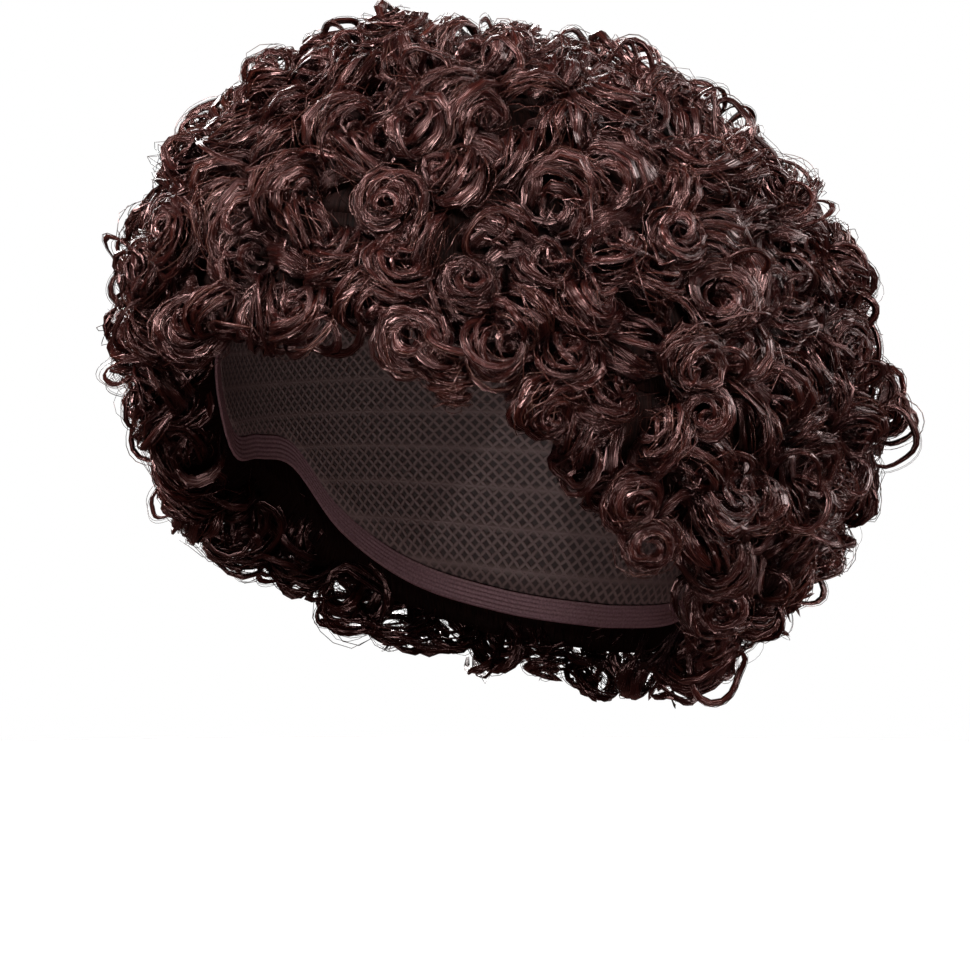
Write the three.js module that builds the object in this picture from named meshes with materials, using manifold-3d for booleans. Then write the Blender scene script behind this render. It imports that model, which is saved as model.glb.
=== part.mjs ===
// A short curly wig: a stretch-net cap with an elastic edge, and four rows of curled hair sewn round it.
// Millimetres, +Z up. The face opening looks along -Y and the wearer's left is +X.
// The origin is the inside of the cap at the crown, where it rests on the head.

import * as THREE from "three";
import { mergeVertices } from "three/addons/utils/BufferGeometryUtils.js";
import Module from "manifold-3d";

const wasm = await Module();
wasm.setup();

const DEG = Math.PI / 180;
const MERIDIANS = 24;           // divisions round the head
const GAP = 0.3;                // left between neighbouring pieces
const CAP_WALL = 1.4;
const BAND_WIDTH = 8;
const HAIR_DEPTH = 12;          // from the hair's outer form down to its backing
const BACKING = 4;              // least thickness of the backing
const REACH = 230;              // beyond every lock, for the row cutters
const CORE = 55;                // inside every lock, for the row cutters
const WELD = 0.04;              // points of the hair closer than this are one point

// Every form is measured from this point, in the middle of the head.
const CENTRE = new THREE.Vector3(0, 0, -92);

// Half-axes of the hollow for the head.
const HEAD = { side: 79, front: 102, back: 98, top: 92, bottom: 135 };

// Outer form of the hair: distance from CENTRE at each polar angle, to the front, the sides and the back.
const HAIR = [
  { polar: 0, front: 128, side: 128, back: 128 },
  { polar: 25, front: 131, side: 129, back: 131 },
  { polar: 45, front: 133, side: 131, back: 137 },
  { polar: 60, front: 131, side: 132, back: 146 },
  { polar: 75, front: 126, side: 132, back: 155 },
  { polar: 90, front: 122, side: 131, back: 161 },
  { polar: 105, front: 116, side: 128, back: 161 },
  { polar: 120, front: 110, side: 124, back: 153 },
  { polar: 135, front: 108, side: 119, back: 141 },
  { polar: 150, front: 108, side: 114, back: 132 },
];

// Polar angles of the cap's edge and of the hair's lower border, from forehead (azimuth 0) to nape (180).
const EDGE = [
  { azimuth: 0, cap: 66, hair: 78 },
  { azimuth: 20, cap: 67, hair: 78 },
  { azimuth: 35, cap: 72, hair: 82 },
  { azimuth: 47, cap: 83, hair: 93 },
  { azimuth: 60, cap: 99, hair: 109 },
  { azimuth: 75, cap: 101, hair: 116 },
  { azimuth: 90, cap: 104, hair: 123 },
  { azimuth: 105, cap: 119, hair: 134 },
  { azimuth: 125, cap: 129, hair: 140 },
  { azimuth: 150, cap: 133, hair: 143 },
  { azimuth: 180, cap: 134, hair: 144 },
];

// Where one row of hair ends and the next begins, as parts of the way from the crown to the cap's edge.
const ROW_ENDS = [0.42, 0.67, 0.87];

// The curls: each lock is wound once round into a coil with a hollow middle. Sizes for a coil of size 1.
const CURL = {
  spacing: 44,
  edgeSpacing: 40,
  sides: 5,
  lean: 36,                     // greatest lean of the coil's axis off the hair's form, in degrees
  narrowing: 0.2,               // how much closer the lock's tip runs to the axis than its root
  climb: 6,                     // from the lock's root up to its tip, along the axis
  hollow: 9,                    // depth of the middle below the crest
};

// The coil's section: distance from the axis and height, from its crest down to its foot in the backing.
const COIL = [
  { radius: 11, height: 0 },
  { radius: 19, height: -7 },
  { radius: 12, height: -16 },
];

const COLOURS = { cap: 0x2a1c1b, band: 0x5a3d42, hair: 0x38201d };

function chance(n) {
  const s = Math.sin(n * 12.9898) * 43758.5453;
  return s - Math.floor(s);
}

// Catmull-Rom interpolation of one column of a table.
function lookUp(table, key, column, at) {
  let i = 0;
  while (i < table.length - 2 && at > table[i + 1][key]) i += 1;
  const rows = [i - 1, i, i + 1, i + 2].map((k) => table[THREE.MathUtils.clamp(k, 0, table.length - 1)]);
  const span = rows[2][key] - rows[1][key];
  const t = THREE.MathUtils.clamp((at - rows[1][key]) / span, 0, 1);
  const slope = (a, b) => (b[key] > a[key] ? ((b[column] - a[column]) / (b[key] - a[key])) * span : 0);
  const m1 = slope(rows[0], rows[2]);
  const m2 = slope(rows[1], rows[3]);
  const drop = rows[2][column] - rows[1][column];
  return rows[1][column] + m1 * t + (3 * drop - 2 * m1 - m2) * t * t + (m1 + m2 - 2 * drop) * t * t * t;
}

// Azimuth folded to 0..180, so that both sides of the head are alike.
function fold(azimuth) {
  const turn = ((azimuth % 360) + 360) % 360;
  return turn > 180 ? 360 - turn : turn;
}

const capEdge = (azimuth) => lookUp(EDGE, "azimuth", "cap", fold(azimuth));
const hairEdge = (azimuth) => lookUp(EDGE, "azimuth", "hair", fold(azimuth));

function direction(polar, azimuth) {
  const a = polar * DEG;
  const b = azimuth * DEG;
  return new THREE.Vector3(Math.sin(a) * Math.sin(b), -Math.sin(a) * Math.cos(b), Math.cos(a));
}

function headRadius(polar, azimuth) {
  const d = direction(polar, azimuth);
  const y = d.y < 0 ? HEAD.front : HEAD.back;
  const z = d.z > 0 ? HEAD.top : HEAD.bottom;
  return 1 / Math.hypot(d.x / HEAD.side, d.y / y, d.z / z);
}

function hairRadius(polar, azimuth) {
  const along = Math.cos(azimuth * DEG);
  const end = lookUp(HAIR, "polar", along > 0 ? "front" : "back", polar);
  const side = lookUp(HAIR, "polar", "side", polar);
  return 1 / Math.hypot(along / end, Math.sin(azimuth * DEG) / side);
}

function place(polar, azimuth, radius) {
  return direction(polar, azimuth).multiplyScalar(radius).add(CENTRE);
}

// One point at every meridian; polar and radius are functions of the azimuth.
function ringOf(polar, radius) {
  const points = [];
  for (let j = 0; j < MERIDIANS; j += 1) {
    const azimuth = (360 * j) / MERIDIANS;
    const down = polar(azimuth);
    points.push(place(down, azimuth, radius(down, azimuth)));
  }
  return points;
}

// A closed solid through rings of points; a ring of one point is a pole.
function solidThrough(rings, joined) {
  const geometry = new THREE.BufferGeometry();
  const points = rings.flat();
  const starts = [];
  rings.reduce((sum, ring, k) => {
    starts[k] = sum;
    return sum + ring.length;
  }, 0);
  const faces = [];
  const pairs = joined ? rings.length : rings.length - 1;
  for (let k = 0; k < pairs; k += 1) {
    const next = (k + 1) % rings.length;
    const upper = rings[k].length;
    const lower = rings[next].length;
    const around = Math.max(upper, lower);
    for (let j = 0; j < around; j += 1) {
      const a = starts[k] + (j % upper);
      const b = starts[k] + ((j + 1) % upper);
      const c = starts[next] + (j % lower);
      const d = starts[next] + ((j + 1) % lower);
      if (lower > 1) faces.push(a, c, d);
      if (upper > 1) faces.push(a, d, b);
    }
  }
  geometry.setFromPoints(points);
  geometry.setIndex(faces);
  return geometry;
}

function toSolid(geometry, tolerance = 1e-3) {
  const welded = mergeVertices(geometry, tolerance);
  return new wasm.Manifold(
    new wasm.Mesh({
      numProp: 3,
      vertProperties: new Float32Array(welded.attributes.position.array),
      triVerts: new Uint32Array(welded.index.array),
    })
  );
}

function toGeometry(solid) {
  const mesh = solid.getMesh();
  const geometry = new THREE.BufferGeometry();
  geometry.setAttribute("position", new THREE.BufferAttribute(new Float32Array(mesh.vertProperties), 3));
  geometry.setIndex(new THREE.BufferAttribute(new Uint32Array(mesh.triVerts), 1));
  return geometry;
}

const group = new THREE.Group();

function addPart(name, geometry, colour, roughness) {
  const material = new THREE.MeshStandardMaterial({ color: colour, roughness, metalness: 0 });
  geometry.computeVertexNormals();
  const mesh = new THREE.Mesh(geometry, material);
  mesh.name = name;
  group.add(mesh);
}

// Cap: a thin dome from the crown to its edge.
const CAP_LINES = [0.14, 0.28, 0.42, 0.56, 0.7, 0.85, 1];
const capInside = (polar, azimuth) => headRadius(polar, azimuth);
const capOutside = (polar, azimuth) => headRadius(polar, azimuth) + CAP_WALL;
const capRings = (radius) => CAP_LINES.map((part) => ringOf((azimuth) => part * capEdge(azimuth), radius));
const cap = solidThrough([
  [place(0, 0, capOutside(0, 0))],
  ...capRings(capOutside),
  ...capRings(capInside).reverse(),
  [place(0, 0, capInside(0, 0))],
]);
addPart("cap", cap, COLOURS.cap, 0.85);

// Edge band: a flat elastic strip that carries the cap on past its edge.
const bandStart = (azimuth) => capEdge(azimuth) + 0.35;
const bandEnd = (azimuth) => {
  const edge = capEdge(azimuth);
  return edge + BAND_WIDTH / headRadius(edge, azimuth) / DEG;
};
const band = solidThrough(
  [
    ringOf(bandStart, capInside),
    ringOf(bandStart, capOutside),
    ringOf(bandEnd, capOutside),
    ringOf(bandEnd, capInside),
  ],
  true
);
addPart("edge_band", band, COLOURS.band, 0.8);

// Hair backing: from just clear of the cap out to below the curls.
const hairInside = (polar, azimuth) => headRadius(polar, azimuth) + CAP_WALL + GAP;
const hairOutside = (polar, azimuth) =>
  Math.max(hairRadius(polar, azimuth) - HAIR_DEPTH, hairInside(polar, azimuth) + BACKING);
const backingEnd = (azimuth) => Math.max(hairEdge(azimuth) - 6, bandEnd(azimuth) + 1.5);
const backingLines = [...CAP_LINES.map((part) => (azimuth) => part * capEdge(azimuth)), bandEnd, backingEnd];
const rim = ringOf(
  (azimuth) => backingEnd(azimuth) + 2,
  (polar, azimuth) => (hairInside(polar, azimuth) + hairOutside(polar, azimuth)) / 2
);
const outerLines = [0.25, 0.5, 0.75].map((part) => (azimuth) => part * backingEnd(azimuth));
const backing = solidThrough([
  [place(0, 0, hairOutside(0, 0))],
  ...[...outerLines, backingEnd].map((line) => ringOf(line, hairOutside)),
  rim,
  ...backingLines.map((line) => ringOf(line, hairInside)).reverse(),
  [place(0, 0, hairInside(0, 0))],
]);

// Curl: a coiled lock that stands in the backing, its axis leaning off the hair's form.
function curl(seed, polar, azimuth, size) {
  const normal = direction(polar, azimuth);
  const heading = 2 * Math.PI * chance(seed + 0.1);
  const lean = CURL.lean * chance(seed + 0.2) * DEG;
  const aside = direction(90, azimuth + 90)
    .multiplyScalar(Math.cos(heading))
    .addScaledVector(direction(polar + 90, azimuth), Math.sin(heading));
  const axis = normal.clone().multiplyScalar(Math.cos(lean)).addScaledVector(aside, Math.sin(lean));
  const first = aside.multiplyScalar(Math.cos(lean)).addScaledVector(normal, -Math.sin(lean));
  const second = new THREE.Vector3().crossVectors(axis, first);
  const hand = chance(seed + 0.3) < 0.5 ? -1 : 1;
  const sunk = size * (CURL.climb / 2 + COIL[0].radius * Math.sin(lean));
  const crest = place(polar, azimuth, hairRadius(polar, azimuth) - sunk);
  const at = (radius, turn, height) =>
    crest
      .clone()
      .addScaledVector(first, size * radius * Math.cos(turn))
      .addScaledVector(second, size * radius * Math.sin(turn))
      .addScaledVector(axis, size * height);
  const rings = COIL.map((section) => {
    const ring = [];
    for (let j = 0; j < CURL.sides; j += 1) {
      const along = (hand > 0 ? j : CURL.sides - 1 - j) / (CURL.sides - 1);
      const radius = section.radius * (1 + CURL.narrowing * (0.5 - along));
      ring.push(at(radius, (2 * Math.PI * j) / CURL.sides, section.height + CURL.climb * (along - 0.5)));
    }
    return ring;
  });
  const middle = [at(0, 0, -CURL.hollow)];
  const foot = [at(0, 0, COIL[2].height - 1)];
  return toSolid(solidThrough([middle, ...rings, foot]));
}

// Curls over the whole form, evenly spread on a spiral from the crown down, then along the lower border.
function curlPlaces() {
  const places = [];
  const total = Math.round((4 * Math.PI * 130 ** 2) / (0.866 * CURL.spacing ** 2));
  for (let i = 0; i < total; i += 1) {
    const polar = Math.acos(1 - (2 * (i + 0.5)) / total) / DEG;
    const azimuth = (i * 137.508) % 360;
    const size = 0.9 + 0.25 * chance(i + 0.4);
    if (polar < hairEdge(azimuth) - 11) places.push({ seed: i, polar, azimuth, size });
  }
  let azimuth = 0;
  for (let i = total; azimuth < 360; i += 1) {
    const polar = hairEdge(azimuth) - 5;
    places.push({ seed: i, polar, azimuth, size: 0.85 + 0.2 * chance(i + 0.4) });
    const slope = hairEdge(azimuth + 2) - hairEdge(azimuth - 2);
    const stretch = Math.hypot(Math.sin(polar * DEG), slope / 4);
    azimuth += CURL.edgeSpacing / (hairRadius(polar, azimuth) * stretch * DEG);
  }
  return places;
}

const curls = curlPlaces().map((p) => curl(p.seed, p.polar, p.azimuth, p.size));
const hair = curls.reduce((sum, next) => sum.add(next), toSolid(backing));

// Clear of the cap and its band: no lock reaches inside the backing's inner face.
const hollow = toSolid(
  solidThrough([
    [place(0, 0, hairInside(0, 0))],
    ...[...backingLines, () => 150].map((line) => ringOf(line, hairInside)),
    [place(180, 0, hairInside(150, 0))],
  ])
);
const trimmed = hair.subtract(hollow);

// Rows: rings of hair between two cones from CENTRE, with a gap between neighbours.
const rowGap = GAP / 2 / 85 / DEG;
function rowCutter(start, end) {
  const upper = (azimuth) => start * capEdge(azimuth) + rowGap;
  const lower = end ? (azimuth) => end * capEdge(azimuth) - rowGap : () => 176;
  const middle = (azimuth) => (upper(azimuth) + lower(azimuth)) / 2;
  const bottom = [ringOf(middle, () => REACH), ringOf(lower, () => REACH), ringOf(lower, () => CORE)];
  const inner = ringOf(middle, () => CORE);
  if (start === 0) {
    return toSolid(solidThrough([[place(0, 0, REACH)], ...bottom, inner, [place(0, 0, CORE)]]));
  }
  const top = [inner, ringOf(upper, () => CORE), ringOf(upper, () => REACH)];
  return toSolid(solidThrough([...bottom, ...top], true));
}

// Each row keeps its one body, with points closer than WELD drawn together.
const largest = (solid) => solid.decompose().reduce((a, b) => (b.volume() > a.volume() ? b : a));
function weld(solid, shift) {
  const moved = toGeometry(largest(solid)).translate(shift, shift, shift);
  return largest(toSolid(toGeometry(toSolid(moved, WELD)).translate(-shift, -shift, -shift)));
}
[0, ...ROW_ENDS].forEach((start, k) => {
  const row = trimmed.intersect(rowCutter(start, ROW_ENDS[k]));
  addPart(`hair_row_${k + 1}`, toGeometry(weld(weld(row, 0), WELD / 2)), COLOURS.hair, 0.5);
});

export default group;
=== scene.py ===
"""A short curly wig: a stretch-net cap, its ribbed elastic edge and rows of curled hair."""
import math
from collections import namedtuple

import bmesh
import bpy
import numpy as np
from bpy.props import FloatProperty, FloatVectorProperty, IntProperty, PointerProperty
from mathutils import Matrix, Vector


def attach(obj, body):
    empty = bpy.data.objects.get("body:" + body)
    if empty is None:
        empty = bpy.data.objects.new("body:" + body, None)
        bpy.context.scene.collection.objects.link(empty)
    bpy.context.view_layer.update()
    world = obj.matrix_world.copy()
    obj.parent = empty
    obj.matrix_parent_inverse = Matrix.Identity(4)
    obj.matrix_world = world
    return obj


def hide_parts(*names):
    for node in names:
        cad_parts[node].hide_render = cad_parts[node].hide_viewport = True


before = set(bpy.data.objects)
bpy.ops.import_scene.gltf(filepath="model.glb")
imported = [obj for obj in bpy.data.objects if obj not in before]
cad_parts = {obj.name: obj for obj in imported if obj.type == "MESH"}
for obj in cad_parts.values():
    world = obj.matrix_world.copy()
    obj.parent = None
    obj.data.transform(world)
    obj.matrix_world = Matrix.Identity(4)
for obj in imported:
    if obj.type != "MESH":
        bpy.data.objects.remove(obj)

bl_info = {
    "name": "Short curly wig",
    "version": (1, 0, 0),
    "blender": (4, 5, 0),
    "location": "View3D > Sidebar > Wig",
    "description": "Builds a short curly wig on the packed cap, band and hair rows",
    "category": "Add Mesh",
}

MM = 0.001
TURN = 2 * math.pi
UV_NAME = "OFBake"
HAIR_FIBRE = "curled_modacrylic_fibre"
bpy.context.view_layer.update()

# The forms of the part's source, in millimetres and degrees from CENTRE: polar angle down from the crown,
# azimuth round from the front (-Y) towards +X.
CENTRE = np.array([0.0, 0.0, -92.0])
HOLLOW = {"side": 79.0, "front": 102.0, "back": 98.0, "top": 92.0, "bottom": 135.0}
CAP_WALL = 1.4
CAP_ROUND = 565.0
GAP = 0.3
ROW_ENDS = (0.42, 0.67, 0.87)
LAST_ROW = len(ROW_ENDS)

HAIR = {
    "polar": (0, 25, 45, 60, 75, 90, 105, 120, 135, 150),
    "front": (128, 131, 133, 131, 126, 122, 116, 110, 108, 108),
    "side": (128, 129, 131, 132, 132, 131, 128, 124, 119, 114),
    "back": (128, 131, 137, 146, 155, 161, 161, 153, 141, 132),
}
MEAN_RADIUS = 132.0
EDGE = {
    "azimuth": (0, 20, 35, 47, 60, 75, 90, 105, 125, 150, 180),
    "cap": (66, 67, 72, 83, 99, 101, 104, 119, 129, 133, 134),
    "hair": (78, 78, 82, 93, 109, 116, 123, 134, 140, 143, 144),
}

# The elastic: millimetres, and degrees from the cap's edge to where it starts.
BAND_WIDTH = 8.0
BAND_WALL = 1.0
BAND_LIFT = 0.2
BAND_START = 0.35
RIBS = 5
RIB_HEIGHT = 0.3
BAND_GRID = (144, 20)

# The cap's ball before it is drawn down: segments and rings, and the height under which it is cut away.
CAP_GRID = (96, 64)
CAP_CUT = -1e-4
# The cap is mapped flat round its crown: one unit of the map is this many degrees down from the crown.
MAP_DEGREES = 300.0
MAP_MM = CAP_ROUND * MAP_DEGREES / 360

# The close hair of a row: millimetres in from the hair's outside, and degrees at its ends.
CLOSE_DEPTH = 15.0
CLOSE_LEAST = 3.0
CLOSE_LUMP = 1.6
CLOSE_WAVES = (0.21, 0.3, 0.27, 1.0)
CLOSE_MERIDIANS = 120
CLOSE_LINES = 9
ROW_GAP = 0.1
ROW_RIM = 2.0
BORDER_SHORT = 6.0
BAND_CLEAR = 1.5
FAN_MAP = (0.01, 0.02, 0.02)

# Where the hair stands out or lies in: polar angle, azimuth, angle it fades over, and millimetres.
FALL = (
    (28, 125, 9, -3), (46, 125, 9, -4), (64, 125, 6, -7), (85, 125, 7, -8),
    (98, 125, 7, 11), (137, 125, 8, 4), (28, 305, 9, 3), (57, 305, 6, 3),
    (70, 305, 5, 3), (79, 305, 7, -4), (103, 305, 14, -9), (2, 125, 14, -5),
)
# Loops that stand off the outline: polar angle, azimuth, radius, height, turns and half-width.
LOOPS = (
    (74, 125, 9.5, 4.0, 0.95, 0.08),
    (94, 125, 8.5, 3.0, 0.95, 0.09),
    (25, 125, 8.0, 3.5, 0.95, 0.07),
    (17, 305, 11.5, 1.0, 0.9, 0.05),
    (34, 305, 5.5, 3.0, 0.8, 0.08),
    (46, 305, 9.0, 3.0, 0.85, 0.06),
    (72, 305, 8.0, 0.5, 0.6, 0.1),
)
# Curls with a place of their own: polar angle, azimuth, radius, and the axis's polar angle and azimuth.
SET_CURLS = (
    (79, 24.6, 12.0, 78, 28), (76, 6, 12.5, 50, 345), (73, 17, 10.0, 125, 60),
    (73.5, 76, 12.0, 84, 45), (91, 71.5, 10.0, 88, 42), (106, 88, 10.5, 75, 30),
    (104, 60, 10.5, 120, 55), (74.5, 52, 11.5, 55, 85), (64.7, 69, 10.0, 60, 60),
    (88.8, 45, 12.0, 115, 75), (67.0, 57.5, 11.0, 35, 20), (70.5, 64, 9.0, 30, 100),
    (66.8, 10.8, 10.5, 40, 330), (68.5, 22, 10.0, 45, 50), (111.5, 65, 9.5, 100, 40),
    (82.0, 28.5, 7.0, 40, 60), (84.8, 31.0, 6.0, 25, 0), (87.8, 31.5, 5.3, 20, 90),
)
SET_DEPTH = 0.5
SET_ROOM = 3.0
# Curls laid last, where the others leave a gap: the same columns.
GAP_CURLS = (
    (63.3, 27, 10.5, 60, 300), (95, 192, 13.0, 80, 230), (74, 203, 12.0, 60, 180),
    (70, 226, 12.0, 90, 250), (72, 109, 11.5, 50, 140), (76, 141, 12.0, 100, 120),
)

# The two layers of curls: part of the curl spacing, millimetres under the hair's outside and how uneven,
# locks to a curl, ridges to a lock, a lock's half-width in radians, points along a strand, points to a
# lock's turn, and degrees that the spiral of curls is turned by.
Layer = namedtuple("Layer", "gap depth uneven locks ridges width steps fine turn")
UPPER = Layer(gap=1.0, depth=2.5, uneven=3.0, locks=7, ridges=3, width=0.13, steps=6, fine=12, turn=0.0)
DEEP = Layer(gap=1.06, depth=8.0, uneven=1.6, locks=2, ridges=5, width=0.4, steps=6, fine=9, turn=68.0)
DEEP_STRANDS = 1
FINEST = 16

# Seats of curls on a spiral, the lower border and the underside: degrees, millimetres, parts of the spacing.
HEX_PACKING = 0.866
GOLDEN_ANGLE = 137.508
SPIRAL_JITTER = 1.3
SPIRAL_STOP = 8.0
BORDER_SEAT = 3.5
BORDER_JITTER = 1.2
BORDER_STEP = 0.82
UNDER_RIM = 3.0
UNDER_INSIDE = 9.0
UNDER_OUTSIDE = 22.0
UNDER_STEP = 0.75
UNDER_FACING = 80.0
SLOPE_STEP = 2.0

# How a curl lies: degrees of lean, and ranges for its size, flatness, turns and tone.
NEARLY_UP = (0.3, 0.2, 1.0)
LEAST_LEAN = 5.0
MOST_LEAN = 88.0
LEAN_POWER = 0.7
CURL_SIZE = (0.78, 1.18)
CURL_FLAT = (0.62, 0.95)
CURL_TURNS = (2.2, 3.0)
CURL_CLEAR = 0.65
TONES = (0.0, 0.3)
LUMPS = (0.11, 0.07)

# How the locks of one curl differ from it.
LOCK_TILT = 9.0
LOCK_SHIFT = 0.06
LOCK_SIZE = (0.76, 1.06)
LOCK_TURNS = (0.68, 0.85)
LOCK_MORE_TURNS = (0.45, 0.85)
LOCK_FLATTEN = 1.15
LOCK_START = 0.25
LOCK_MORE_START = 2.5
LOCK_LOWEST = -0.35
LOCK_RANGE = 1.75
LOCK_CLIMB = (0.3, 1.1)
LOCK_WIDTH = (0.7, 1.3)
BORDER_WIDTH = 0.17
BORDER_MORE_STEPS = 2

# A lock's section and taper: millimetres, parts of its half-width, and radians of latitude on the curl.
LEAST_STEPS = 9
ROOT_WIDTH = 0.12
ROOT_HEIGHT = 0.3
ROOT_RISE = 5.0
TIP_NARROWING = 0.8
TIP_FLATTENING = 0.55
CROWN_HEIGHT = 1.3
UNDERSIDE = 1.2
OVERLAP = 0.6
RIDGE = 0.5
RIDGE_UNEVEN = 0.4
WANDER = 0.22
WANDER_WAVE = 5.0
LOCK_LATITUDE = 1.38

# Fine strands: radians on the curl, millimetres over it, and chances.
STRAND_SIDES = 3
STRAND_LATITUDE = 1.35
STRAND_SINES = (-0.7, 0.96)
STRAND_FACING = -0.15
BORDER_FACING = -0.7
STRAND_SWEEP = (0.1, 0.22)
STRAND_CLIMB = 0.55
ALONG_CHANCE = 0.7
ALONG_SPREAD = 0.1
CROSS_SPREAD = 0.6
STRAND_WAVE = 0.06
STRAND_WAVES = 3.0
LOOSE_CHANCE = 0.35
STRAND_LIFT = (0.7, 1.9)
LOOSE_LIFT = (0.3, 1.6)
LOOSE_DIP = (0.3, 1.4)
CLOSE_DIP = 1.6
STRAND_WIDTH = (0.7, 1.25)
STRAND_THINNING = 0.35

# The map: locks take u under a half, strands the rest. v is part root to tip, part how open hair lies.
# v drives painted shade: hair near its roots and deep within it is coloured darker.
LOCK_MAP = 0.36
STRAND_MAP = 0.003
STRAND_FIRST = 0.5
STRAND_SPAN = 0.49
ALONG_SHARE = 0.25
END_MIDDLE = 0.01
END_RADIUS = 0.008
END_SHARE = 0.4
OPEN_DEPTH = 17.0
OPEN_BORDER = 0.8
OPEN_ABOVE = 8.0
OPEN_FADE = 14.0

# Hooks, loops and single hairs that stand off the curls: millimetres, turns, radians and degrees.
STRAY_STEPS = 24
STRAY_REACH = 1.82
STRAY_BORDER = 1.0
STRAY_LEAN = 55.0
STRAY_START = 0.5
LOOP_LEAN = 86.0
LOOP_START = 0.3
LOOP_LOCKS = 3
LOOP_JITTER = (1.5, 2.0)
HOOK_RADIUS = (7.0, 12.5)
HOOK_HEIGHT = (1.5, 6.5)
HOOK_TURNS = (0.6, 1.15)
HOOK_WIDTH = (0.04, 0.1)
HOOK_LEVEL = (-0.3, 0.3)
HOOK_CLIMB = 0.5
HOOK_DRAW_IN = (1.0, 6.0)
HOOK_RIDGES = 3
HOOK_FINE = 20
HOOK_STRANDS = 2
HOOK_STRAND_SPREAD = 1.1
HOOK_STRAND_LIFT = (1.0, 2.2)
HOOK_STRAND_TIP = 0.6
SINGLE_RADIUS = (8.0, 14.0)
SINGLE_HEIGHT = (0.0, 4.0)
SINGLE_GROUP = (1, 4)
SINGLE_SWEEP = (3.0, 6.5)
SINGLE_LEVEL = (-0.5, 0.5)
SINGLE_SPREAD = 0.06
SINGLE_CLIMB = 0.4
SINGLE_LIFT = 0.5
SINGLE_DRAW_IN = (0.0, 6.0)
SINGLE_THICKNESS = 0.8
SINGLE_TIP = 0.5

# Pattern sizes in millimetres. Real fibre is about 0.08 mm thick: both kinds of streak are drawn coarser
# than real, as small bunches of fibres. The other patterns have sizes that such things have.
STREAK = 0.4519
ROOT_STREAK = 1.05
NET_CELL = (2.173, 2.0035)
NET_UNEVEN = 0.15
SEAM_STEP = 12.712
SEAM_HALF = 1.036
ELASTIC_GRAIN = 0.7
PAPER_CLOUD = 300.0
# Along a hair the map's v is no length, so these count the changes of tone from root to tip.
STREAK_CHANGES = 3.0
ROOT_CHANGES = 9.0

# The mix node's sockets for colours.
MIX_A, MIX_B, MIX_RESULT = 6, 7, 2

# The stage, in metres, watts and degrees. A pixel is what one pixel of the picture spans at the wig.
VIEW = (35.0, 4.0)
PIXEL = 0.336 * MM
PICTURE_SIDE = 971
PICTURE_MIDDLE = (485.0, 485.5)
CROWN_IN_PICTURE = (478.0, 119.0)
SENSOR = 36.0
FAR = 50.0
FLOOR_RADIUS = 1.8
FLOOR_HEIGHT = -0.42
FLOOR_CORNERS = 128
FILL_STRENGTH = 0.14
LIT_MIDDLE = Vector((0, 0.01, -0.08))
# Softboxes: name, place, size and power.
LIGHTS = (
    ("key", (-0.5, -1.7, 1.4), 0.5, 136.0),
    ("side", (2.0, -0.7, 0.9), 0.45, 90.0),
    ("top", (0.1, -0.8, 1.9), 0.5, 25.0),
    ("back_right", (-1.5, 1.5, 0.5), 0.9, 36.0),
    ("back_left", (1.1, 1.8, 0.6), 0.9, 44.0),
    ("back_fill", (-1.1, 1.6, 0.0), 1.0, 34.0),
    ("low", (0.5, -1.7, -0.75), 0.7, 22.0),
    ("inside", (0.5, -0.8, -0.42), 0.2, 5.0),
)


def linear(hex_colour):
    """An sRGB hex colour as linear RGBA."""
    parts = [int(hex_colour[i : i + 2], 16) / 255 for i in (1, 3, 5)]
    return tuple(c / 12.92 if c <= 0.04045 else ((c + 0.055) / 1.055) ** 2.4 for c in parts) + (1.0,)


def grey(value):
    return (value, value, value, 1.0)


BLACK, WHITE = grey(0.0), grey(1.0)


def look_up(table, key, column, at):
    """Catmull-Rom interpolation of one column of a table."""
    x = np.array(table[key], float)
    y = np.array(table[column], float)
    at = np.clip(np.asarray(at, float), x[0], x[-1])
    i = np.clip(np.searchsorted(x, at, side="left") - 1, 0, len(x) - 2)
    before, after = np.maximum(i - 1, 0), np.minimum(i + 2, len(x) - 1)
    span = x[i + 1] - x[i]
    t = (at - x[i]) / span
    m1 = (y[i + 1] - y[before]) / (x[i + 1] - x[before]) * span
    m2 = (y[after] - y[i]) / (x[after] - x[i]) * span
    drop = y[i + 1] - y[i]
    return y[i] + m1 * t + (3 * drop - 2 * m1 - m2) * t**2 + (m1 + m2 - 2 * drop) * t**3


def fold(azimuth):
    """Azimuth folded to 0..180, so that both sides are alike."""
    turn = np.mod(azimuth, 360.0)
    return np.where(turn > 180, 360 - turn, turn)


def cap_edge(azimuth):
    return look_up(EDGE, "azimuth", "cap", fold(azimuth))


def hair_edge(azimuth):
    return look_up(EDGE, "azimuth", "hair", fold(azimuth))


def direction(polar, azimuth):
    a, b = np.radians(polar), np.radians(azimuth)
    return np.stack([np.sin(a) * np.sin(b), -np.sin(a) * np.cos(b), np.cos(a) + 0 * b], axis=-1)


def hollow_radius(polar, azimuth):
    """From CENTRE out to the cap's inner face."""
    d = direction(polar, azimuth)
    y = np.where(d[..., 1] < 0, HOLLOW["front"], HOLLOW["back"])
    z = np.where(d[..., 2] > 0, HOLLOW["top"], HOLLOW["bottom"])
    return 1 / np.sqrt((d[..., 0] / HOLLOW["side"]) ** 2 + (d[..., 1] / y) ** 2 + (d[..., 2] / z) ** 2)


def hair_radius(polar, azimuth):
    """From CENTRE out to the hair's outer form."""
    along, aside = np.cos(np.radians(azimuth)), np.sin(np.radians(azimuth))
    front, back = look_up(HAIR, "polar", "front", polar), look_up(HAIR, "polar", "back", polar)
    end = np.where(along > 0, front, back)
    return 1 / np.hypot(along / end, aside / look_up(HAIR, "polar", "side", polar))


def band_end(azimuth):
    edge = cap_edge(azimuth)
    return edge + np.degrees(BAND_WIDTH / hollow_radius(edge, azimuth))


def backing_end(azimuth):
    return np.maximum(hair_edge(azimuth) - BORDER_SHORT, band_end(azimuth) + BAND_CLEAR)


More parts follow.
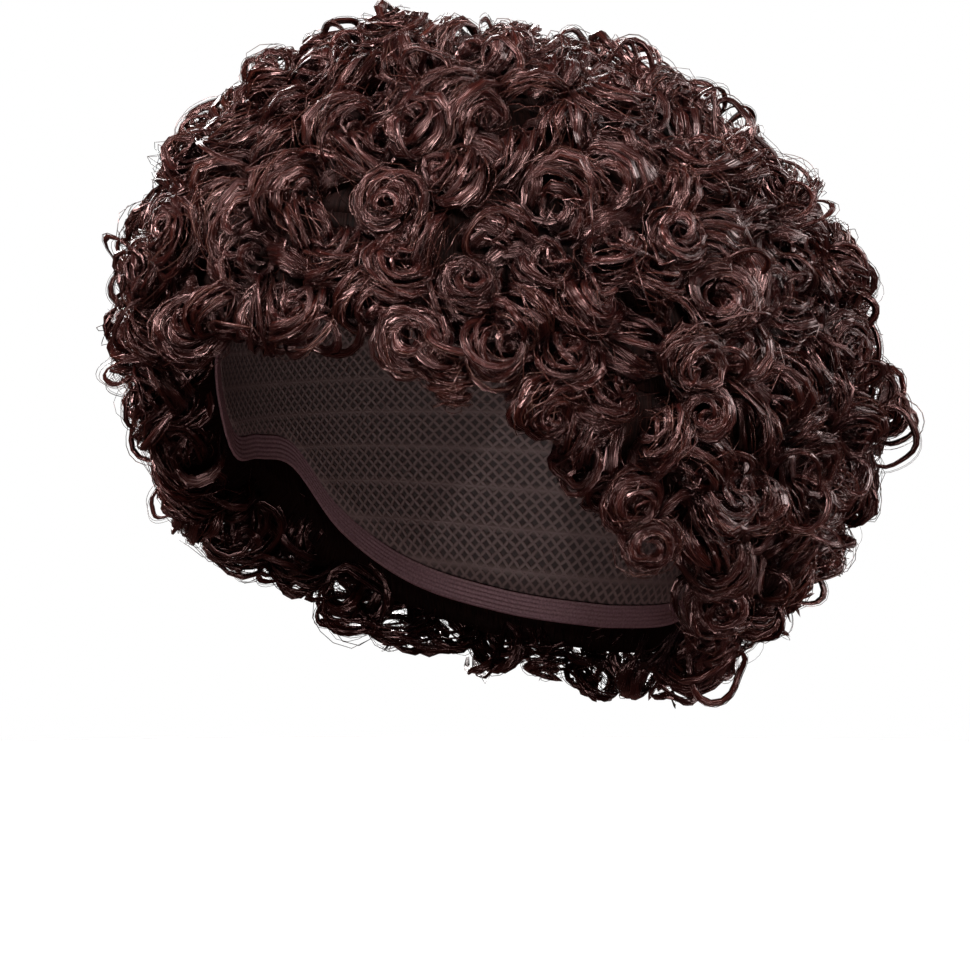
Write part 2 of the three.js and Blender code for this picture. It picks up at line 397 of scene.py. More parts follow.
def place(polar, azimuth, radius):
    return CENTRE + direction(polar, azimuth) * np.asarray(radius)[..., None]


def fall(polar, azimuth):
    """How far the hair stands out of its form, in millimetres."""
    here = direction(polar, azimuth)
    height = 0.0
    for at, round_to, fade, proud in FALL:
        apart = np.degrees(np.arccos(np.clip(here @ direction(at, round_to), -1, 1)))
        height = height + proud * np.exp(-0.5 * (apart / fade) ** 2)
    return height


def on_hair(polar, azimuth):
    """The point on the hair's outside."""
    return place(polar, azimuth, hair_radius(polar, azimuth) + fall(polar, azimuth))


def find(points):
    """Polar angle, azimuth and distance of points from CENTRE."""
    away = points - CENTRE
    reach = np.linalg.norm(away, axis=-1)
    polar = np.degrees(np.arccos(np.clip(away[..., 2] / reach, -1, 1)))
    return polar, np.degrees(np.arctan2(away[..., 0], -away[..., 1])), reach


def clear_of_cap(points):
    """Moves points that reach into the cap or the space under it out to the hair's inner side."""
    polar, azimuth, reach = find(points)
    least = hollow_radius(polar, azimuth) + CAP_WALL + GAP
    return CENTRE + (points - CENTRE) * np.maximum(1, least / reach)[:, None]


def shade_openness(points):
    """How open a point lies, for painted shade: 1 on the hair's outside or along its lower border, 0 deep
    within it.
    """
    polar, azimuth, reach = find(points)
    deep = hair_radius(polar, azimuth) + fall(polar, azimuth) - reach
    under = (polar - hair_edge(azimuth) + OPEN_ABOVE) / OPEN_FADE
    return np.clip(np.maximum(1 - deep / OPEN_DEPTH, OPEN_BORDER * np.minimum(under, 1)), 0, 1)


class WigSizes(bpy.types.PropertyGroup):
    curl_spacing: FloatProperty(
        name="Curl spacing", description="Between the middles of neighbouring curls",
        default=24.5 * MM, unit="LENGTH")
    curl_radius: FloatProperty(
        name="Curl radius", description="Outer radius of a curl", default=12.2 * MM, unit="LENGTH")
    strand_radius: FloatProperty(
        name="Strand radius", description="Half the thickness of a drawn strand",
        default=0.14 * MM, unit="LENGTH")
    strands: IntProperty(
        name="Strands", description="Fine strands over a curl", default=42)
    hooks: IntProperty(
        name="Hooks", description="Thin locks that stand off the curls", default=150)
    stray_hairs: IntProperty(
        name="Stray hairs", description="Single hairs that stand off the curls", default=230)
    seed: IntProperty(
        name="Seed", description="Changes how the curls fall", default=7)
    camera_distance: FloatProperty(
        name="Camera distance", description="From the camera to the wig", default=1.8, unit="LENGTH")


class WigColours(bpy.types.PropertyGroup):
    hair_tint: FloatVectorProperty(
        name="Hair tint", description="Multiplies the dark browns of the curls",
        subtype="COLOR", size=3, default=linear("#ffffff")[:3])
    # Painted shade: the close root hair is near black, partly its own dark brown and partly shade deep
    # between the curls.
    hair_root_and_shade: FloatVectorProperty(
        name="Hair root", description="Colour deep between the curls",
        subtype="COLOR", size=3, default=linear("#0d0403")[:3])
    net: FloatVectorProperty(
        name="Cap net", description="Colour of the stretch net",
        subtype="COLOR", size=3, default=linear("#554543")[:3])
    elastic: FloatVectorProperty(
        name="Elastic", description="Colour of the edge band",
        subtype="COLOR", size=3, default=linear("#694d52")[:3])


def join(tree, node, links):
    """Links sockets, or the first outputs of nodes, to a node's inputs."""
    for key, source in links.items():
        tree.links.new(getattr(source, "outputs", [source])[0], node.inputs[key])


def add_node(tree, kind, links=None, **settings):
    """Adds a shader node, sets its sockets and attributes, and links others to its inputs."""
    node = tree.nodes.new("ShaderNode" + kind)
    for key, value in settings.items():
        if key in node.inputs:
            node.inputs[key].default_value = value
        else:
            setattr(node, key, value)
    join(tree, node, links or {})
    return node


def new_material(name, settings):
    material = bpy.data.materials.new(name)
    material.use_nodes = True
    tree = material.node_tree
    tree.nodes.clear()
    shader = add_node(tree, "BsdfPrincipled", **settings)
    add_node(tree, "OutputMaterial", {"Surface": shader})
    return material, tree, shader


def colour_ramp(tree, source, *stops):
    ramp = add_node(tree, "ValToRGB", {"Fac": source})
    while len(ramp.color_ramp.elements) < len(stops):
        ramp.color_ramp.elements.new(0.5)
    for element, (position, colour) in zip(ramp.color_ramp.elements, stops):
        element.position = position
        element.color = colour
    return ramp


def shades(tree, shader, source, colour, *stops):
    """Colours a shader with shades of one colour: where on the source's range, and how bright."""
    tones = [(at, (*[bright * c for c in colour[:3]], 1.0)) for at, bright in stops]
    join(tree, shader, {"Base Color": colour_ramp(tree, source, *tones)})


def bump(tree, shader, height, strength, distance):
    """Raises a shader's surface, by a distance in millimetres."""
    raised = add_node(tree, "Bump", {"Height": height}, Strength=strength, Distance=distance * MM)
    join(tree, shader, {"Normal": raised})


def streaks(tree, across, changes):
    """Noise drawn out along the hair: cells across one unit of the map's u, and along one of its v."""
    uv = add_node(tree, "UVMap", uv_map=UV_NAME)
    drawn_out = add_node(tree, "Mapping", {"Vector": uv}, Scale=(across, changes, 1.0))
    return uv, add_node(tree, "TexNoise", {"Vector": drawn_out}, Scale=1.0, Detail=2.0)


def grain(tree, size):
    """Noise in the object's own space, with cells of a size in millimetres."""
    own = add_node(tree, "TexCoord").outputs["Object"]
    return add_node(tree, "TexNoise", {"Vector": own}, Scale=1 / (size * MM), Detail=2.0)


def hair_material(tint, curl_radius):
    """Curled modacrylic fibre: smooth drawn filaments, so each strand has a narrow satin highlight and its
    own tone of dark brown. Painted shade: hair near the roots and deep between the curls is darker,
    and the locks are darker than the strands over them."""
    material, tree, shader = new_material(HAIR_FIBRE, {"IOR": 1.56, "Specular Tint": linear("#ffc7c2")})
    # A lock's two faces are four half-widths round, and take LOCK_MAP of u for each radian of half-width.
    uv, fine = streaks(tree, 4 * curl_radius / (LOCK_MAP * STREAK), STREAK_CHANGES)
    split = add_node(tree, "SeparateXYZ", {"Vector": uv})

    def browns(*stops):
        dyed = [(at, (*[a * b for a, b in zip(linear(tone), tint)], 1.0)) for at, tone in stops]
        return colour_ramp(tree, fine, *dyed)

    # Painted shade: the locks take darker browns than the strands, so that they read as shadow under the
    # strands.
    shaded_locks = browns((0.40, "#120302"), (0.48, "#1d0605"), (0.56, "#270b08"), (0.68, "#361913"))
    drawn = browns((0.36, "#1c0806"), (0.47, "#2c120d"), (0.56, "#3a1e18"), (0.70, "#5a423a"))
    single = colour_ramp(tree, split.outputs["X"], (0.49, BLACK), (0.51, WHITE))
    tone = add_node(tree, "Mix", {"Factor": single, MIX_A: shaded_locks, MIX_B: drawn}, data_type="RGBA")
    # Factors, not colours: painted shade, what light is left deep in the hair and near the roots, where
    # green and blue fade first.
    depth = colour_ramp(
        tree, split.outputs["Y"],
        (0.15, (0.19, 0.11, 0.11, 1.0)), (0.5, (0.48, 0.38, 0.38, 1.0)), (0.85, WHITE))
    both = add_node(
        tree, "Mix", {MIX_A: tone.outputs[MIX_RESULT], MIX_B: depth},
        data_type="RGBA", blend_type="MULTIPLY", Factor=1.0)
    gloss = colour_ramp(tree, fine, (0.40, grey(0.33)), (0.58, grey(0.2)))
    join(tree, shader, {"Base Color": both.outputs[MIX_RESULT], "Roughness": gloss})
    bump(tree, shader, fine, 1.0, 2.0)
    return material


def root_material(colour):
    """Close root hair: matt dark fibre packed under the curls, streaked from the crown down.
    Its near-black is partly the fibre's dark brown and partly painted shade deep between the curls.
    """
    material, tree, shader = new_material("close_root_hair", {"Roughness": 0.7, "Specular IOR Level": 0.03})
    # The map's u runs once round the hair.
    _, fine = streaks(tree, TURN * (MEAN_RADIUS - CLOSE_DEPTH) / ROOT_STREAK, ROOT_CHANGES)
    shades(tree, shader, fine, colour, (0.35, 0.4), (0.7, 1.6))
    bump(tree, shader, fine, 0.8, 1.0)
    return material


def net_material(colour):
    """Knitted nylon stretch net: matt dark threads round small open cells, with sewn lines for the hair."""
    material, tree, shader = new_material("knitted_stretch_net", {"Roughness": 0.8})
    uv = add_node(tree, "UVMap", uv_map=UV_NAME)
    centred = add_node(tree, "VectorMath", {0: uv}, operation="SUBTRACT")
    centred.inputs[1].default_value = (0.5, 0.5, 0.0)
    down = add_node(tree, "VectorMath", {0: centred}, operation="LENGTH").outputs["Value"]
    split = add_node(tree, "SeparateXYZ", {"Vector": centred})
    turn = add_node(tree, "Math", {0: split.outputs["X"], 1: split.outputs["Y"]}, operation="ARCTAN2")
    polar = add_node(tree, "CombineXYZ", {"X": turn, "Y": down})
    counts = (round(CAP_ROUND / NET_CELL[0]) / TURN, MAP_MM / NET_CELL[1], 1.0)
    counted = add_node(tree, "Mapping", {"Vector": polar}, Scale=counts)
    diamond = add_node(tree, "Mapping", {"Vector": counted}, Rotation=(0, 0, math.radians(45)))
    cells = add_node(
        tree, "TexVoronoi", {"Vector": diamond}, feature="DISTANCE_TO_EDGE", voronoi_dimensions="2D",
        Scale=math.sqrt(0.5), Randomness=NET_UNEVEN)
    thread = colour_ramp(tree, cells.outputs["Distance"], (0.10, WHITE), (0.26, BLACK))
    rows = add_node(tree, "Math", {0: down}, operation="PINGPONG")
    rows.inputs[1].default_value = SEAM_STEP / 2 / MAP_MM
    sewn = colour_ramp(tree, rows, (0.0, WHITE), (SEAM_HALF / MAP_MM, BLACK))
    raised = add_node(tree, "Math", {0: thread, 1: sewn}, operation="MAXIMUM")
    shades(tree, shader, raised, colour, (0.0, 0.3), (1.0, 1.2))
    bump(tree, shader, raised, 0.6, 0.5)
    return material


def elastic_material(colour):
    """Ribbed knitted elastic: soft cotton-covered rubber, matt, with fine cross threads."""
    material, tree, shader = new_material("ribbed_knitted_elastic", {"Roughness": 0.75})
    fine = grain(tree, ELASTIC_GRAIN)
    shades(tree, shader, fine, colour, (0.3, 0.65), (0.7, 1.3))
    bump(tree, shader, fine, 0.35, 0.3)
    return material


def paper_material():
    """White paper of the floor: matt, and very slightly clouded."""
    material, tree, shader = new_material("white_paper", {"Roughness": 0.9})
    shades(tree, shader, grain(tree, PAPER_CLOUD), linear("#f3f3f3"), (0.3, 0.985), (0.7, 1.0))
    return material


class Bundle:
    """Gathers tubes and sheets of faces, then makes one mesh of them."""

    def __init__(self):
        self.points, self.corners, self.sizes, self.uvs, self.count = [], [], [], [], 0

    def add(self, points, faces, uvs):
        """points (N, 3) in mm, faces (F, k) and uvs (F, k, 2)."""
        self.points.append(points)
        self.count += len(points)
        self.add_faces(faces + self.count - len(points), uvs)

    def add_faces(self, faces, uvs):
        self.corners.append(faces.reshape(-1))
        self.sizes.append(np.full(len(faces), faces.shape[1]))
        self.uvs.append(uvs.reshape(-1, 2))

    def add_rings(self, rings, tone, spread):
        """Closed tubes from rings (S, n, k, 3). Each takes the band of u from tone to tone + spread."""
        count, steps, sides, _ = rings.shape
        start = self.count
        self.points.append(rings.reshape(-1, 3))
        self.count += count * steps * sides
        s, i, j = np.meshgrid(np.arange(count), np.arange(steps - 1), np.arange(sides), indexing="ij")
        along = np.linspace(0, 1, steps)

        def index(ii, jj):
            return start + (s * steps + ii) * sides + jj % sides

        def uv(ii, jj):
            return np.stack([tone[s] + spread[s] * jj / sides, along[ii]], axis=-1)

        quads = np.stack([index(i, j), index(i + 1, j), index(i + 1, j + 1), index(i, j + 1)], axis=-1)
        maps = np.stack([uv(i, j), uv(i + 1, j), uv(i + 1, j + 1), uv(i, j + 1)], axis=-2)
        self.add_faces(quads.reshape(-1, 4), maps.reshape(-1, 4, 2))
        s, j = np.meshgrid(np.arange(count), np.arange(sides), indexing="ij")
        turn = j * TURN / sides
        across = tone[s] + spread[s] * (0.5 + END_SHARE * np.cos(turn))
        disc = np.stack([across, END_MIDDLE + END_RADIUS * np.sin(turn)], axis=-1)
        first = start + s * steps * sides + j
        last = first + (steps - 1) * sides
        self.add_faces(first, disc)
        self.add_faces(last[:, ::-1], (disc * (1, -1) + (0, 1))[:, ::-1])

    def add_strands(self, paths, radii, reference, tone):
        """Thin strands along paths (S, n, 3), with radii (S, n)."""
        tangent = np.gradient(paths, axis=1)
        tangent /= np.linalg.norm(tangent, axis=2, keepdims=True)
        out = np.cross(tangent, reference)
        out /= np.linalg.norm(out, axis=2, keepdims=True)
        over = np.cross(out, tangent)
        turn = np.arange(STRAND_SIDES) * TURN / STRAND_SIDES
        rings = paths[:, :, None, :] + radii[:, :, None, None] * (
            np.cos(turn)[:, None] * out[:, :, None, :] + np.sin(turn)[:, None] * over[:, :, None, :])
        self.add_rings(rings, tone, np.full(len(paths), STRAND_MAP))

    def piece(self, name, material, slot, *nodes):
        if not self.points:
            raise RuntimeError(f"{name} has no hair in it")
        points = clear_of_cap(np.concatenate(self.points))
        corners = np.concatenate(self.corners).astype(np.int32)
        uvs = np.concatenate(self.uvs)
        # v carries painted shade: low near the roots and deep in the hair, where the colour is darkened.
        uvs[:, 1] = ALONG_SHARE * uvs[:, 1] + (1 - ALONG_SHARE) * shade_openness(points)[corners]
        sizes = np.concatenate(self.sizes).astype(np.int32)
        starts = np.concatenate([[0], np.cumsum(sizes)[:-1]]).astype(np.int32)
        mesh = bpy.data.meshes.new(name)
        mesh.vertices.add(len(points))
        mesh.vertices.foreach_set("co", points.reshape(-1) * MM)
        mesh.loops.add(len(corners))
        mesh.loops.foreach_set("vertex_index", corners)
        mesh.polygons.add(len(sizes))
        mesh.polygons.foreach_set("loop_start", starts)
        mesh.polygons.foreach_set("use_smooth", np.ones(len(sizes), bool))
        mesh.uv_layers.new(name=UV_NAME).data.foreach_set("uv", uvs.reshape(-1))
        mesh.update(calc_edges=True)
        mesh.validate()
        mesh.materials.append(material)
        obj = bpy.data.objects.new(name, mesh)
        bpy.context.scene.collection.objects.link(obj)
        finish_piece(obj, slot, *nodes)
        return obj


def finish_piece(obj, slot, *nodes):
    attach(obj, "root")
    if nodes:
        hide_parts(*nodes)


def deselect():
    bpy.ops.object.select_all(action="DESELECT")


def points_of(obj):
    """An object's points as an array (N, 3)."""
    flat = np.empty(len(obj.data.vertices) * 3)
    obj.data.vertices.foreach_get("co", flat)
    return flat.reshape(-1, 3)


def thicken(obj, wall):
    """Gives a sheet a wall outwards, in millimetres."""
    modifier = obj.modifiers.new("wall", "SOLIDIFY")
    modifier.thickness = wall * MM
    modifier.offset = 1.0
    bpy.ops.object.modifier_apply(modifier="wall")
    bpy.ops.object.shade_smooth()


class WIG_OT_cap(bpy.types.Operator):
    """The stretch-net cap: half a ball drawn down to the cap's edge"""
    bl_idname = "wig.cap"
    bl_label = "Cap"

    def execute(self, context):
        deselect()
        segments, rings = CAP_GRID
        bpy.ops.mesh.primitive_uv_sphere_add(segments=segments, ring_count=rings, radius=1.0)
        obj = context.object
        obj.name = obj.data.name = "stretch_cap"
        bpy.ops.object.mode_set(mode="EDIT")
        bpy.ops.mesh.select_all(action="DESELECT")
        mesh = bmesh.from_edit_mesh(obj.data)
        for vertex in mesh.verts:
            vertex.select_set(vertex.co.z < CAP_CUT)
        mesh.select_flush(True)
        bmesh.update_edit_mesh(obj.data)
        bpy.ops.mesh.delete(type="VERT")
        bpy.ops.object.mode_set(mode="OBJECT")
        ball = points_of(obj)
        if not len(ball):
            raise RuntimeError("the cap's ball was cut away whole")
        azimuth = np.degrees(np.arctan2(ball[:, 0], -ball[:, 1]))
        polar = np.degrees(np.arccos(np.clip(ball[:, 2], 0, 1))) / 90 * cap_edge(azimuth)
        shaped = place(polar, azimuth, hollow_radius(polar, azimuth)) * MM
        obj.data.vertices.foreach_set("co", shaped.reshape(-1))
        spread = polar / MAP_DEGREES
        turn = np.radians(azimuth)
        flat = 0.5 + np.stack([spread * np.sin(turn), -spread * np.cos(turn)], axis=-1)
        corner = np.empty(len(obj.data.loops), np.int32)
        obj.data.loops.foreach_get("vertex_index", corner)
        layer = obj.data.uv_layers[0]
        layer.name = UV_NAME
        layer.data.foreach_set("uv", flat[corner].reshape(-1))
        thicken(obj, CAP_WALL)
        obj.data.materials.append(net_material(context.scene.wig_colours.net))
        finish_piece(obj, "cap_net", "cap")
        return {"FINISHED"}


class WIG_OT_edge_band(bpy.types.Operator):
    """The ribbed elastic strip along the cap's edge"""
    bl_idname = "wig.edge_band"
    bl_label = "Edge band"

    def execute(self, context):
        deselect()
        around, across = BAND_GRID
        bpy.ops.mesh.primitive_grid_add(x_subdivisions=around, y_subdivisions=across, size=2.0)
        obj = context.object
        obj.name = obj.data.name = "elastic_band"
        flat = points_of(obj)
        azimuth = (flat[:, 0] + 1) * 180
        part = (1 - flat[:, 1]) / 2
        start = cap_edge(azimuth) + BAND_START
        polar = start + part * (band_end(azimuth) - start)
        ribs = RIB_HEIGHT * (np.abs(np.sin(np.pi * RIBS * part)) - 0.5)
        shaped = place(polar, azimuth, hollow_radius(polar, azimuth) + BAND_LIFT + ribs) * MM
        obj.data.vertices.foreach_set("co", shaped.reshape(-1))
        bpy.ops.object.mode_set(mode="EDIT")
        bpy.ops.mesh.select_all(action="SELECT")
        bpy.ops.mesh.remove_doubles(threshold=1e-5)
        bpy.ops.mesh.normals_make_consistent(inside=False)
        bpy.ops.object.mode_set(mode="OBJECT")
        if len(obj.data.vertices) == len(flat):
            raise RuntimeError("the edge band's two ends did not join")
        thicken(obj, BAND_WALL)
        obj.data.materials.append(elastic_material(context.scene.wig_colours.elastic))
        finish_piece(obj, "elastic", "edge_band")
        return {"FINISHED"}


def row_of(polar, azimuth):
    return int(np.searchsorted(ROW_ENDS, polar / cap_edge(azimuth)))


def make_base(row):
    """The close hair of one row under its curls: a dark lumpy shell from the cap out to the curls' feet,
    its darkness partly painted shade under the curls.
    """
    bundle = Bundle()
    meridians = CLOSE_MERIDIANS
    azimuth = np.arange(meridians + 1) * 360.0 / meridians
    start = (0.0, *ROW_ENDS)[row] * cap_edge(azimuth) + (ROW_GAP if row else 0)
    end = backing_end(azimuth) if row == LAST_ROW else ROW_ENDS[row] * cap_edge(azimuth) - ROW_GAP
    parts = np.linspace(0, 1, CLOSE_LINES)
    polar = start + parts[:, None] * (end - start)
    inner = hollow_radius(polar, azimuth) + CAP_WALL + GAP
    round_wave, down_wave, cross_wave, shift = CLOSE_WAVES
    lumps = CLOSE_LUMP * np.sin(round_wave * azimuth * np.sin(np.radians(polar)) + down_wave * polar)
    lumps = lumps * np.sin(cross_wave * polar + shift)
    outer = np.maximum(hair_radius(polar, azimuth) - CLOSE_DEPTH + lumps, inner + CLOSE_LEAST)
    lines = [place(polar[k], azimuth, outer[k]) for k in range(len(parts))]
    if row == LAST_ROW:
        lines.append(place(end + ROW_RIM, azimuth, (inner[-1] + outer[-1]) / 2))
    lines += [place(polar[k], azimuth, inner[k]) for k in reversed(range(len(parts)))]
    grid = np.array(lines)[:, :-1]
    count = len(grid)
    k, j = np.meshgrid(np.arange(count), np.arange(meridians), indexing="ij")
    if row == 0:
        k, j = k[1:-2], j[1:-2]
    following = (k + 1) % count

    def index(kk, jj):
        return kk * meridians + jj % meridians

    corners = [index(k, j), index(following, j), index(following, j + 1), index(k, j + 1)]
    faces = np.stack(corners, axis=-1).reshape(-1, 4)
    u = np.stack([j, j, j + 1, j + 1], axis=-1).reshape(-1, 4) / meridians
    v = np.stack([k, k + 1, k + 1, k], axis=-1).reshape(-1, 4) / count
    uvs = np.stack([u, v], axis=-1)
    points = grid.reshape(-1, 3)
    if row:
        bundle.add(points, faces, uvs)
        return bundle
    # The first row closes over the crown: one point outside and one inside, each with a fan of faces.
    keep = np.arange(meridians, (count - 1) * meridians)
    points = np.concatenate([points[keep], [grid[0, 0], grid[-1, 0]]])
    ring = np.arange(meridians)
    onward = (ring + 1) % meridians
    last = (count - 3) * meridians
    top = np.stack([np.full(meridians, len(points) - 2), ring, onward], axis=-1)
    low = np.stack([last + ring, np.full(meridians, len(points) - 1), last + onward], axis=-1)
    bundle.add(points, faces - meridians, uvs)
    fan_u = np.stack([(ring + 0.5) / meridians, ring / meridians, (ring + 1) / meridians], -1)
    fan = np.stack([fan_u, np.tile(FAN_MAP, (meridians, 1))], axis=-1)
    bundle.add_faces(top, fan)
    bundle.add_faces(low, fan[:, [1, 0, 2]])
    return bundle


def curl_seats(rng, spacing, turn):
    """Where curls sit: evenly over the hair's form on a spiral from the crown, along its lower border, and
    across the underside from the border in to the band. Each is (polar, azimuth, place, outward direction,
    at the border)."""
    seats = []

    def seat(polar, azimuth, border):
        seats.append((polar, azimuth, on_hair(polar, azimuth), direction(polar, azimuth), border))

    total = int(round(2 * TURN * MEAN_RADIUS**2 / (HEX_PACKING * spacing**2)))
    for i in range(total):
        polar = math.degrees(math.acos(1 - 2 * (i + 0.5) / total)) + rng.normal(0, SPIRAL_JITTER)
        azimuth = (i * GOLDEN_ANGLE + turn) % 360 + rng.normal(0, SPIRAL_JITTER)
        if 0 < polar < float(hair_edge(azimuth)) - SPIRAL_STOP:
            seat(polar, azimuth, False)
    azimuth = 0.0
    while azimuth < 360:
        polar = float(hair_edge(azimuth)) - BORDER_SEAT + rng.normal(0, BORDER_JITTER)
        seat(polar, azimuth, True)
        rim = float(backing_end(azimuth)) + UNDER_RIM
        inside = float(hollow_radius(rim, azimuth)) + UNDER_INSIDE
        outside = float(hair_radius(polar, azimuth)) - UNDER_OUTSIDE
        facing = direction(rim + UNDER_FACING, azimuth)
        for radius in np.arange(outside, inside, -UNDER_STEP * spacing):
            seats.append((rim, azimuth, place(rim, azimuth, radius), facing, True))
        slope = float(hair_edge(azimuth + SLOPE_STEP) - hair_edge(azimuth - SLOPE_STEP)) / (2 * SLOPE_STEP)
        stretch = math.hypot(math.sin(math.radians(polar)), slope)
        azimuth += math.degrees(spacing * BORDER_STEP / (float(hair_radius(polar, azimuth)) * stretch))
    return seats


def lay_curl(rng, seat, normal, radius, depth, border, least_lean=LEAST_LEAN, heading=None, axis=None):
    """One curl's own frame and sizes: a ball of wound hair, leaning some way off the hair's surface."""
    east = np.cross(NEARLY_UP, normal)
    east /= np.linalg.norm(east)
    north = np.cross(normal, east)
    lean = math.radians(least_lean + (MOST_LEAN - least_lean) * rng.uniform(0, 1) ** LEAN_POWER)
    if heading is None:
        heading = rng.uniform(0, TURN)
    aside = east * math.cos(heading) + north * math.sin(heading)
    if axis is not None:
        lean = math.acos(np.clip(axis @ normal, -1, 1))
        aside = axis - normal * math.cos(lean)
        aside /= np.linalg.norm(aside)
    axis = normal * math.cos(lean) + aside * math.sin(lean)
    first = aside * math.cos(lean) - normal * math.sin(lean)
    size = radius * rng.uniform(*CURL_SIZE)
    flat = rng.uniform(*CURL_FLAT)
    sunk = size * math.hypot(flat * math.cos(lean), math.sin(lean)) + depth
    middle = seat - normal * sunk
    polar, azimuth, reach = find(middle)
    least = float(hollow_radius(polar, azimuth)) + CAP_WALL + CURL_CLEAR * size
    return {
        "normal": normal,
        "lean": lean,
        "axis": axis,
        "first": first,
        "second": np.cross(axis, first),
        "middle": CENTRE + (middle - CENTRE) * max(1, least / reach),
        "size": size,
        "flat": flat,
        "turns": rng.uniform(*CURL_TURNS),
        "hand": rng.choice([-1, 1]),
        "start": rng.uniform(0, TURN),
        "lump": rng.uniform(0, TURN, 2),
        "tone": rng.uniform(*TONES),
        "border": border,
    }


def lay_on_hair(rng, polar, azimuth, radius, depth, **how):
    """A curl on the hair's outside, away from its border."""
    return lay_curl(rng, on_hair(polar, azimuth), direction(polar, azimuth), radius, depth, False, **how)


def near_set_curl(seat):
    """True where a curl with a place of its own leaves no room for another."""
    for polar, azimuth, radius, _, _ in SET_CURLS:
        if np.linalg.norm(seat - on_hair(polar, azimuth)) < radius + SET_ROOM:
            return True
    return False


def tilt(rng, curl):
    """A copy of a curl with its axis tipped a little, so that locks of one curl cross each other."""
    tipped = dict(curl)
    away = rng.normal(0, math.radians(LOCK_TILT), 2)
    axis = curl["axis"] + away[0] * curl["first"] + away[1] * curl["second"]
    tipped["axis"] = axis / np.linalg.norm(axis)
    first = curl["first"] - tipped["axis"] * (curl["first"] @ tipped["axis"])
    tipped["first"] = first / np.linalg.norm(first)
    tipped["second"] = np.cross(tipped["axis"], tipped["first"])
    tipped["middle"] = curl["middle"] + rng.normal(0, LOCK_SHIFT * curl["size"], 3)
    tipped["size"] = curl["size"] * rng.uniform(*LOCK_SIZE)
    flatness = 1.0 if curl["border"] else max(0.0, math.cos(LOCK_FLATTEN * curl["lean"]))
    tipped["turns"] = rng.uniform(*LOCK_TURNS) + flatness * rng.uniform(*LOCK_MORE_TURNS)
    spread = LOCK_START + LOCK_MORE_START * flatness
    tipped["start"] = math.pi * (1 - curl["hand"] * tipped["turns"]) + rng.normal(0, spread)
    tipped["lump"] = rng.uniform(0, TURN, 2)
    tipped["tone"] = rng.uniform(*TONES)
    return tipped


def on_curl(curl, angle, latitude, lift):
    """Points on a curl's ball, lift above its surface, and the ball's outward direction there."""
    radial = np.cos(angle)[..., None] * curl["first"] + np.sin(angle)[..., None] * curl["second"]
    level, rise = np.cos(latitude)[..., None], np.sin(latitude)[..., None]
    out = level * radial + rise / curl["flat"] * curl["axis"]
    out /= np.linalg.norm(out, axis=-1, keepdims=True)
    uneven = LUMPS[0] * np.sin(2 * angle + curl["lump"][0] + 2 * latitude)
    uneven = uneven + LUMPS[1] * np.sin(3 * angle - 3 * latitude + curl["lump"][1])
    point = curl["middle"] + curl["size"] * (level * radial + rise * curl["flat"] * curl["axis"])
    return point + (lift + curl["size"] * uneven)[..., None] * out, out


def add_lock(bundle, rng, curl, ridges, low, high, widest, draw_in=0.0, fine=UPPER.fine):
    """One lock wound into a curl: a thick ribbon with uneven ridges that tapers to its tip."""
    steps = max(LEAST_STEPS, round(fine * curl["turns"]) + 1)
    t = np.linspace(0, 1, steps)[:, None]
    angle = curl["start"] + curl["hand"] * TURN * curl["turns"] * t
    half = widest * np.minimum(1, ROOT_WIDTH + ROOT_RISE * t) * (1 - TIP_NARROWING * t**4)
    outer = np.linspace(-1, 1, ridges)
    across = np.append(outer, 0.0)[None, :] * curl["hand"]
    grooves = RIDGE * (-1.0) ** np.arange(ridges) + rng.uniform(-RIDGE_UNEVEN, RIDGE_UNEVEN, ridges)
    crown = np.append(CROWN_HEIGHT * np.sqrt(1 - outer**2) + grooves, -UNDERSIDE)
    lift = crown[None, :] * np.minimum(1, ROOT_HEIGHT + ROOT_RISE * t) * (1 - TIP_FLATTENING * t**3)
    lift = lift - OVERLAP * across - draw_in * t**2
    wander = WANDER * half * np.sin(WANDER_WAVE * t + rng.uniform(0, TURN, (1, ridges + 1)))
    latitude = low + (high - low) * t + half * across + wander
    latitude = np.clip(latitude, -LOCK_LATITUDE, LOCK_LATITUDE)
    points, _ = on_curl(curl, angle + 0 * across, latitude, lift)
    bundle.add_rings(points[None], np.array([curl["tone"]]), np.array([LOCK_MAP * widest]))


def strand_tones(rng, count):
    return STRAND_FIRST + rng.uniform(0, STRAND_SPAN, count)


